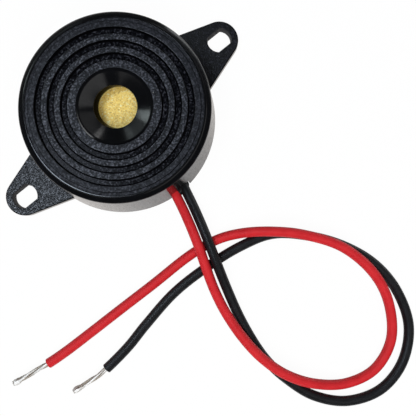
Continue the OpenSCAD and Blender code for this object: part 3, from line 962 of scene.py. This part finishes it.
def make_chip_resistor(node):
    """White ceramic with a black coat on its free side and tinned caps on its ends."""
    low, high = cad_mm(node)
    along = long_axis(low, high)
    half = (high - low)[along] / 2
    skin = Vector((CHIP_SKIN, CHIP_SKIN, CHIP_SKIN))
    parts = [moulded_block(low + skin, high - skin, CERAMIC_WHITE)]
    reach = half - CHIP_CAP + COAT_LAP
    coat_low, coat_high = slice_along(low, high, along, -reach, reach)
    coat_low.z, coat_high.z = [low.z + level for level in COAT_LEVELS]
    parts.append(moulded_block(coat_low, coat_high, MOULDED))
    for cap in end_slices(low, high, along, CHIP_CAP):
        parts.append(moulded_block(*cap, METAL, CHIP_EDGE))
    finish_piece(unite(node + "_chip", parts), node)


DIODE_TAB = 0.14
DIODE_TAB_HALF_W = 0.42
DIODE_BAND = (0.72, 0.42)  # distances of the band's edges from the body's end
DIODE_BAND_INSET, DIODE_BAND_EDGE = 0.13, 0.01
DIODE_BAND_LEVELS = (-0.01, 0.1)
DIODE_FOLD = 0.05  # how far the tabs reach past the body's middle level


def make_diode():
    """Moulded body with end tabs folded under it and a plain pale band at one end."""
    low, high = cad_mm("protection_diode")
    along = long_axis(low, high)
    half = (high - low)[along] / 2
    body = slice_along(low, high, along, DIODE_TAB - half, half - DIODE_TAB)
    band_low, band_high = slice_along(low, high, along, *[half - d for d in DIODE_BAND])
    band_low.x, band_high.x = low.x + DIODE_BAND_INSET, high.x - DIODE_BAND_INSET
    band_low.z, band_high.z = [low.z + level for level in DIODE_BAND_LEVELS]
    parts = [
        moulded_block(*body, MOULDED, BODY_EDGE, BODY_TAPER),
        moulded_block(band_low, band_high, CERAMIC_WHITE, DIODE_BAND_EDGE),
    ]
    middle_x = (low.x + high.x) / 2
    for tab_low, tab_high in end_slices(low, high, along, 2 * DIODE_TAB):
        tab_low.x, tab_high.x = middle_x - DIODE_TAB_HALF_W, middle_x + DIODE_TAB_HALF_W
        tab_low.z = (low.z + high.z) / 2 - DIODE_FOLD
        parts.append(moulded_block(tab_low, tab_high, METAL, CHIP_EDGE))
    finish_piece(unite("diode", parts), "protection_diode")


def make_transistor_body():
    body = moulded_block(*cad_mm("transistor_body"), MOULDED, BODY_EDGE, BODY_TAPER)
    finish_piece(unite("transistor", [body]), "transistor_body")


BOARD_FACE = 2.2
FILLET = 0.4
FILLET_STEPS = 5
FILLET_OVERLAP = 0.02
# a fillet's size at shares of its half width
FILLET_SIZES = ((-1, 0.7), (-0.92, 0.9), (-0.7, 1), (0.7, 1), (0.92, 0.9), (1, 0.7))
LEG_W = 0.4


def solder_fillet(x, y, way, width):
    """A hollow wedge of solder that runs out from (x, y) along a direction in the plan."""
    way = Vector(way)
    aside = Vector((-way.y, way.x))
    hollow = arc(0, 0, FILLET, 0, math.pi / 2, FILLET_STEPS)
    corner = [(0.0, 0.0), *[(FILLET - y, FILLET - x) for x, y in hollow]]
    rings = []
    for share, size in FILLET_SIZES:
        ring = []
        for out, down in corner:
            spot = Vector((x, y)) + way * (out * size - FILLET_OVERLAP) + aside * share * width / 2
            ring.append((spot.x, spot.y, BOARD_FACE - down * size))
        rings.append(ring)
    return stack_solid("fillet", rings, 0, [SOLDER])


def make_component_joints():
    fillets = []
    for node in (*RESISTORS, "protection_diode"):
        low, high = cad_mm(node)
        middle, along = (low + high) / 2, long_axis(low, high)
        width = (high - low)[1 - along] - 0.08
        for end, sense in ((low, -1), (high, 1)):
            spot = [middle.x, middle.y]
            spot[along] = end[along]
            way = (sense, 0) if along == 0 else (0, sense)
            fillets.append(solder_fillet(*spot, way, width))
    low, high = cad_mm("transistor_legs")
    for x in (low.x + LEG_W / 2, high.x - LEG_W / 2):
        fillets.append(solder_fillet(x, high.y, (0, 1), LEG_W))
    fillets.append(solder_fillet((low.x + high.x) / 2, low.y, (0, -1), LEG_W))
    finish_piece(unite("component_joints", fillets), "component_solder_joints", 50)


# a solder joint on its pad: shares of its height and of its radius
DOME = [
    (0, 1.38), (0.025, 1.38), (0.035, 1.18), (0.1, 1.06), (0.22, 1.0), (0.42, 0.97),
    (0.62, 0.87), (0.78, 0.70), (0.9, 0.48), (0.97, 0.24), (1, 0.06),
]
DOME_SIDES = 40


def make_domes(name, node, spots, radius, height):
    """Solder joints with flared feet, hanging from the board at these places."""
    levels = [(radius * wide, BOARD_FACE - height * up) for up, wide in DOME]
    domes = []
    for x, y in spots:

        def outline(r):
            return arc(x, y, r, 0, 2 * math.pi, DOME_SIDES)[:-1]

        domes.append(stack_outlines("dome", outline, levels, 0, [SOLDER]))
    finish_piece(unite(name, domes), node, 60)


LEAD_JOINT_R, LEAD_JOINT_H = 1.1, 1.5
LEAD_JOINT_INSET = 0.4
BOARD_JOINT_R, BOARD_JOINT_H = 0.6, 0.6
LINK_ENDS = [(60, 9.5), (150, 11), (-40, 7.5)]  # direction and distance of each link on the board
RED_JOINT, BLACK_JOINT = [(x, y - LEAD_JOINT_INSET) for x, y, _ in (RED_ROUTE[0], BLACK_ROUTE[0])]
LINK_JOINTS = [(r * math.cos(math.radians(a)), r * math.sin(math.radians(a))) for a, r in LINK_ENDS]
CERAMIC_JOINT, FEEDBACK_JOINT, BRASS_JOINT = LINK_JOINTS

TRACK_W = 0.7
TRACK_T = 0.04
TRACK_EDGE = 0.02
TRACKS = [
    [RED_JOINT, (-3.2, -8), (-5, -6.75)],
    [RED_JOINT, (4.8, -8), (8.6, -4.2), (8.6, -1.9), (6.6, -0.3), (5, -0.3)],
    [BLACK_JOINT, (-0.9, -3.9), (-4, -3.2), (-5, -3.3)],
    [BLACK_JOINT, (0, -3.6), (0, -1.1)],
    [BLACK_JOINT, BRASS_JOINT],
    [(-0.95, 2.1), (-2.4, 3.1), (-4.1, 3.1), (-5, 2.3)],
    [(0.95, 2.1), (2, 3.1), (4, 3.1), (5, 2.3)],
    [(-0.2, 5), (1, 4.6), (2.6, 3.1)],
    [(3.2, 3.1), (4.75, 5), CERAMIC_JOINT],
    [(-2.8, 5), (-8, 5), FEEDBACK_JOINT],
    [(-5, -0.3), (-7.6, 1.6), (-7.6, 4), (-8.4, 5)],
]


STROKE_END_STEPS = 6


def stroke_outline(points, half_w):
    """Closed outline of a stroke with round ends and mitred bends."""
    points = [Vector(p[:2]) for p in points]
    ways = [(b - a).normalized() for a, b in zip(points, points[1:])]
    left, right = [], []
    for k in range(1, len(points) - 1):
        aside = Vector((-ways[k - 1].y, ways[k - 1].x)) + Vector((-ways[k].y, ways[k].x))
        aside *= 2 * half_w / aside.length_squared
        left.append(points[k] + aside)
        right.append(points[k] - aside)

    def end(point, way):
        start = math.atan2(way.y, way.x) - math.pi / 2
        return arc(*point, half_w, start, math.pi, STROKE_END_STEPS)

    return end(points[-1], ways[-1]) + left[::-1] + end(points[0], -ways[0]) + right


def make_tracks():
    """The board's raised copper tracks under the mask."""
    levels = [(0, TRACK_T), (0, -0.6 * TRACK_T), (TRACK_EDGE, -TRACK_T)]
    levels = [(inset, BOARD_FACE + up) for inset, up in levels]
    tracks = None
    for route in TRACKS:

        def outline(inset):
            return stroke_outline(route, TRACK_W / 2 - inset)

        track = stack_outlines("board_tracks", outline, levels, 0, [TRACK_GREEN])
        tracks = combine(tracks, track, "UNION") if tracks else track
    shade(tracks)
    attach(tracks, "root")


GLUE_W, GLUE_H = 1.0, 0.7
GLUE_GAP = math.radians(16)  # half the gap that the bead leaves for the leads
GLUE_STEPS, GLUE_SIDES = 150, 8
GLUE_END_SIZE, GLUE_LUMPS = 0.35, 0.05  # shares of its full size
GLUE_BULGE = 0.8  # below 1, the bead's section is fuller than an ellipse
# partly painted shade: black glue that fills the gap between the leads where they leave the drum
GLUE_AND_SHADE_BEAD = ((-0.08, -14.15, 1.0), (1.75, 1.4, 0.9))  # its middle and radii


def make_board_bead():
    """The bead of clear glue in the corner between the board and the wall."""
    outer = BOARD_BORE_R - 0.05
    rings = []
    for i in range(GLUE_STEPS + 1):
        share = i / GLUE_STEPS
        a = -math.pi / 2 + GLUE_GAP + (2 * math.pi - 2 * GLUE_GAP) * share
        size = min(1, GLUE_END_SIZE + 9 * math.sqrt(min(share, 1 - share) / 10))
        lumps = noise.noise(Vector((3 * math.cos(a), 3 * math.sin(a), 0)))
        size *= 1 - GLUE_LUMPS + GLUE_LUMPS * lumps
        ring = [(outer, BOARD_FACE)]
        for k in range(GLUE_SIDES + 1):
            t = math.pi / 2 * k / GLUE_SIDES
            deep = GLUE_H * size * math.sin(t) ** GLUE_BULGE
            ring.append((outer - GLUE_W * size * math.cos(t), BOARD_FACE - deep))
        rings.append([(r * math.cos(a), r * math.sin(a), z) for r, z in ring])
    bead = stack_solid("board_bead", rings, 0, [SILICONE])
    finish_piece(bead, "board_adhesive", 50)


def make_anchor_glue():
    """The block of glue behind the notch, and a black bead of it squeezed out between the leads, which also
    stands in for the shade in the gap between them.
    """
    low, high = cad_mm("lead_anchor_glue")
    middle, half = (low + high) / 2, (high - low) / 2
    glue = blob("anchor_glue", middle, half * 0.98, BLACK_GLUE, square=5, wobble=0.05)
    bead = blob("bead", *GLUE_AND_SHADE_BEAD, BLACK_GLUE, seed=3)
    combine(glue, bead, "UNION")
    finish_piece(glue, "lead_anchor_glue", 60)


def dress(node, material):
    """Gives a CAD node that stays as it is its material."""
    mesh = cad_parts[node].data
    mesh.materials.clear()
    mesh.materials.append(material)


dress("brass_diaphragm", BRASS)
dress("piezo_ceramic", CERAMIC)
dress("diaphragm_adhesive", SILICONE)
dress("circuit_board", MASK_GREEN)
for part in ("transistor_legs", "ceramic_link", "feedback_link", "brass_link"):
    dress(part, TINNED)
dress("disc_solder_joints", SOLDER)
make_anchor_glue()
make_board_bead()
make_tracks()
for part in RESISTORS:
    make_chip_resistor(part)
make_diode()
make_transistor_body()
make_component_joints()
lead_joints = [RED_JOINT, BLACK_JOINT]
make_domes("lead_joints", "lead_solder_joints", lead_joints, LEAD_JOINT_R, LEAD_JOINT_H)
make_domes("board_joints", "board_solder_joints", LINK_JOINTS, BOARD_JOINT_R, BOARD_JOINT_H)

# -------- stage and light

PICTURE_TURN = -39.2  # turns an azimuth in the picture into one from +X
DARK_SIDE = 315  # azimuth in the picture at which the floor mirrors darkest
FLOOR_HALF, FLOOR_Z = 600, -0.05
FLOOR_FADE = 60  # distance over which the ramp below fades the floor in reflections
LAMP_DISTANCE = 0.45  # metres
# colour and strength of the sky as a light, and as the camera sees it
SKY_LIGHT, SKY_SHOWN = ((0.97, 0.99, 1.0, 1), 0.05), ((0.96, 0.96, 0.96, 1), 1.0)
WHITE = (1, 1, 1)
COOL = (0.86, 0.99, 1.0)


def floor_white():
    """White to the camera, with a trace of the object's shadow. In gloss it has painted light and shade: a
    warm glow near the drum that fades further out and towards DARK_SIDE, over a floor painted darker.
    """
    n = Nodes("floor_white")
    tree = n.tree
    tree.nodes.remove(n.shader)
    path = n.add("ShaderNodeLightPath").outputs
    far = n.add("ShaderNodeVectorMath", Vector=n.coordinates)
    far.operation = "LENGTH"
    fade = n.math("DIVIDE", far.outputs["Value"], FLOOR_FADE * MM)
    # painted light: in reflections the floor glows white near the drum, less so further out
    near = n.ramp(fade, [(0.30, 1.0), (0.62, 0.25)])
    aim = n.add("ShaderNodeVectorMath")
    aim.operation = "DOT_PRODUCT"
    n.set(aim.inputs[0], n.coordinates)
    turn = math.radians(DARK_SIDE + PICTURE_TURN)
    aim.inputs[1].default_value = (math.cos(turn), math.sin(turn), 0)
    towards = n.math("DIVIDE", aim.outputs["Value"], far.outputs["Value"])
    # painted shadow: the floor seen in reflections darkens towards DARK_SIDE
    painted_floor_shadow = n.ramp(towards, [(0.50, 0.84), (0.72, 0.60), (1.0, 0.02)])
    gloss = n.math("MULTIPLY", path["Is Glossy Ray"], n.math("MULTIPLY", near, painted_floor_shadow))
    seen = n.math("MAXIMUM", path["Is Camera Ray"], path["Is Transmission Ray"])
    share = n.math("MULTIPLY", n.math("MAXIMUM", seen, gloss), 0.96)
    # painted shade and tint: in reflections the floor is darker and its glow warmer
    floor_and_painted_shade = n.mix(path["Is Glossy Ray"], (0.9, 0.9, 0.9), (0.66, 0.65, 0.64))
    lit = n.add("ShaderNodeBsdfDiffuse", Color=floor_and_painted_shade)
    painted_glow_tint = n.mix(path["Is Glossy Ray"], WHITE, (1.0, 0.955, 0.92))
    glow = n.add("ShaderNodeEmission", Color=painted_glow_tint, Strength=1.0)
    both = n.add("ShaderNodeMixShader", Fac=share)
    tree.links.new(lit.outputs[0], both.inputs[1])
    tree.links.new(glow.outputs[0], both.inputs[2])
    tree.links.new(both.outputs[0], tree.nodes["Material Output"].inputs["Surface"])
    return n.material


def make_floor():
    signs = ((-1, -1), (1, -1), (1, 1), (-1, 1))
    corners = [(i * FLOOR_HALF, j * FLOOR_HALF, FLOOR_Z) for i, j in signs]
    mesh_from("floor", corners, [(0, 1, 2, 3)], None, [floor_white()])


def make_softbox(name, azimuths, elevations, radiance, colour, shows=True):
    """A lamp that fills this range of directions, seen from the drum, in degrees from +X."""
    azimuth = math.radians(sum(azimuths) / 2)
    elevation = math.radians(sum(elevations) / 2)
    across = math.radians(azimuths[1] - azimuths[0]) * math.cos(elevation)
    data = bpy.data.lights.new(name, "AREA")
    data.shape = "RECTANGLE"
    data.size = 2 * LAMP_DISTANCE * math.tan(across / 2)
    data.size_y = 2 * LAMP_DISTANCE * math.tan(math.radians(elevations[1] - elevations[0]) / 2)
    data.energy = radiance * math.pi * data.size * data.size_y
    data.color = colour
    lamp = add_object(name, data)
    lamp.visible_glossy = shows
    level = math.cos(elevation)
    away = Vector((math.cos(azimuth) * level, math.sin(azimuth) * level, math.sin(elevation)))
    lamp.location = away * LAMP_DISTANCE
    lamp.rotation_mode = "QUATERNION"
    lamp.rotation_quaternion = away.to_track_quat("Z", "Y")


def make_world():
    world = bpy.data.worlds.new("world")
    bpy.context.scene.world = world
    world.use_nodes = True
    tree = world.node_tree
    tree.nodes.clear()
    path = tree.nodes.new("ShaderNodeLightPath")
    both = tree.nodes.new("ShaderNodeMixShader")
    tree.links.new(path.outputs["Is Camera Ray"], both.inputs["Fac"])
    for socket, (colour, strength) in zip(both.inputs[1:], (SKY_LIGHT, SKY_SHOWN)):
        sky = tree.nodes.new("ShaderNodeBackground")
        sky.inputs["Color"].default_value = colour
        sky.inputs["Strength"].default_value = strength
        tree.links.new(sky.outputs[0], socket)
    out = tree.nodes.new("ShaderNodeOutputWorld")
    tree.links.new(both.outputs[0], out.inputs["Surface"])


make_floor()
make_world()
# name, azimuths in the picture, elevations, radiance and colour
SOFTBOXES = (
    ("window", (145, 160), (27, 36), 4.2, COOL),
    ("window_far", (116, 125), (25, 32), 1.3, COOL),
    ("window_wall", (125, 142), (25, 32), 0.6, COOL),
    ("window_top", (120, 165), (38, 50), 0.6, COOL),
    ("doorway", (20, 70), (3, 12), 3.2, (0.95, 0.98, 1.0)),
    ("doorway_edge", (73, 81), (33, 40), 2.6, WHITE),
    ("ceiling", (280, 385), (47, 64), 0.75, WHITE),
    ("ceiling_near", (30, 70), (36, 50), 0.35, WHITE),
    ("ceiling_far", (195, 250), (44, 58), 0.4, WHITE),
    ("skylight", (160, 202), (66, 79), 13.5, (0.76, 0.86, 1.0)),
)
for name, azimuths, *lamp in SOFTBOXES:
    make_softbox(name, [a + PICTURE_TURN for a in azimuths], *lamp)
make_softbox("fill", (176, 286), (45, 80), 5.0, WHITE, shows=False)  # unseen in gloss
bpy.context.scene.view_settings.view_transform = "Standard"
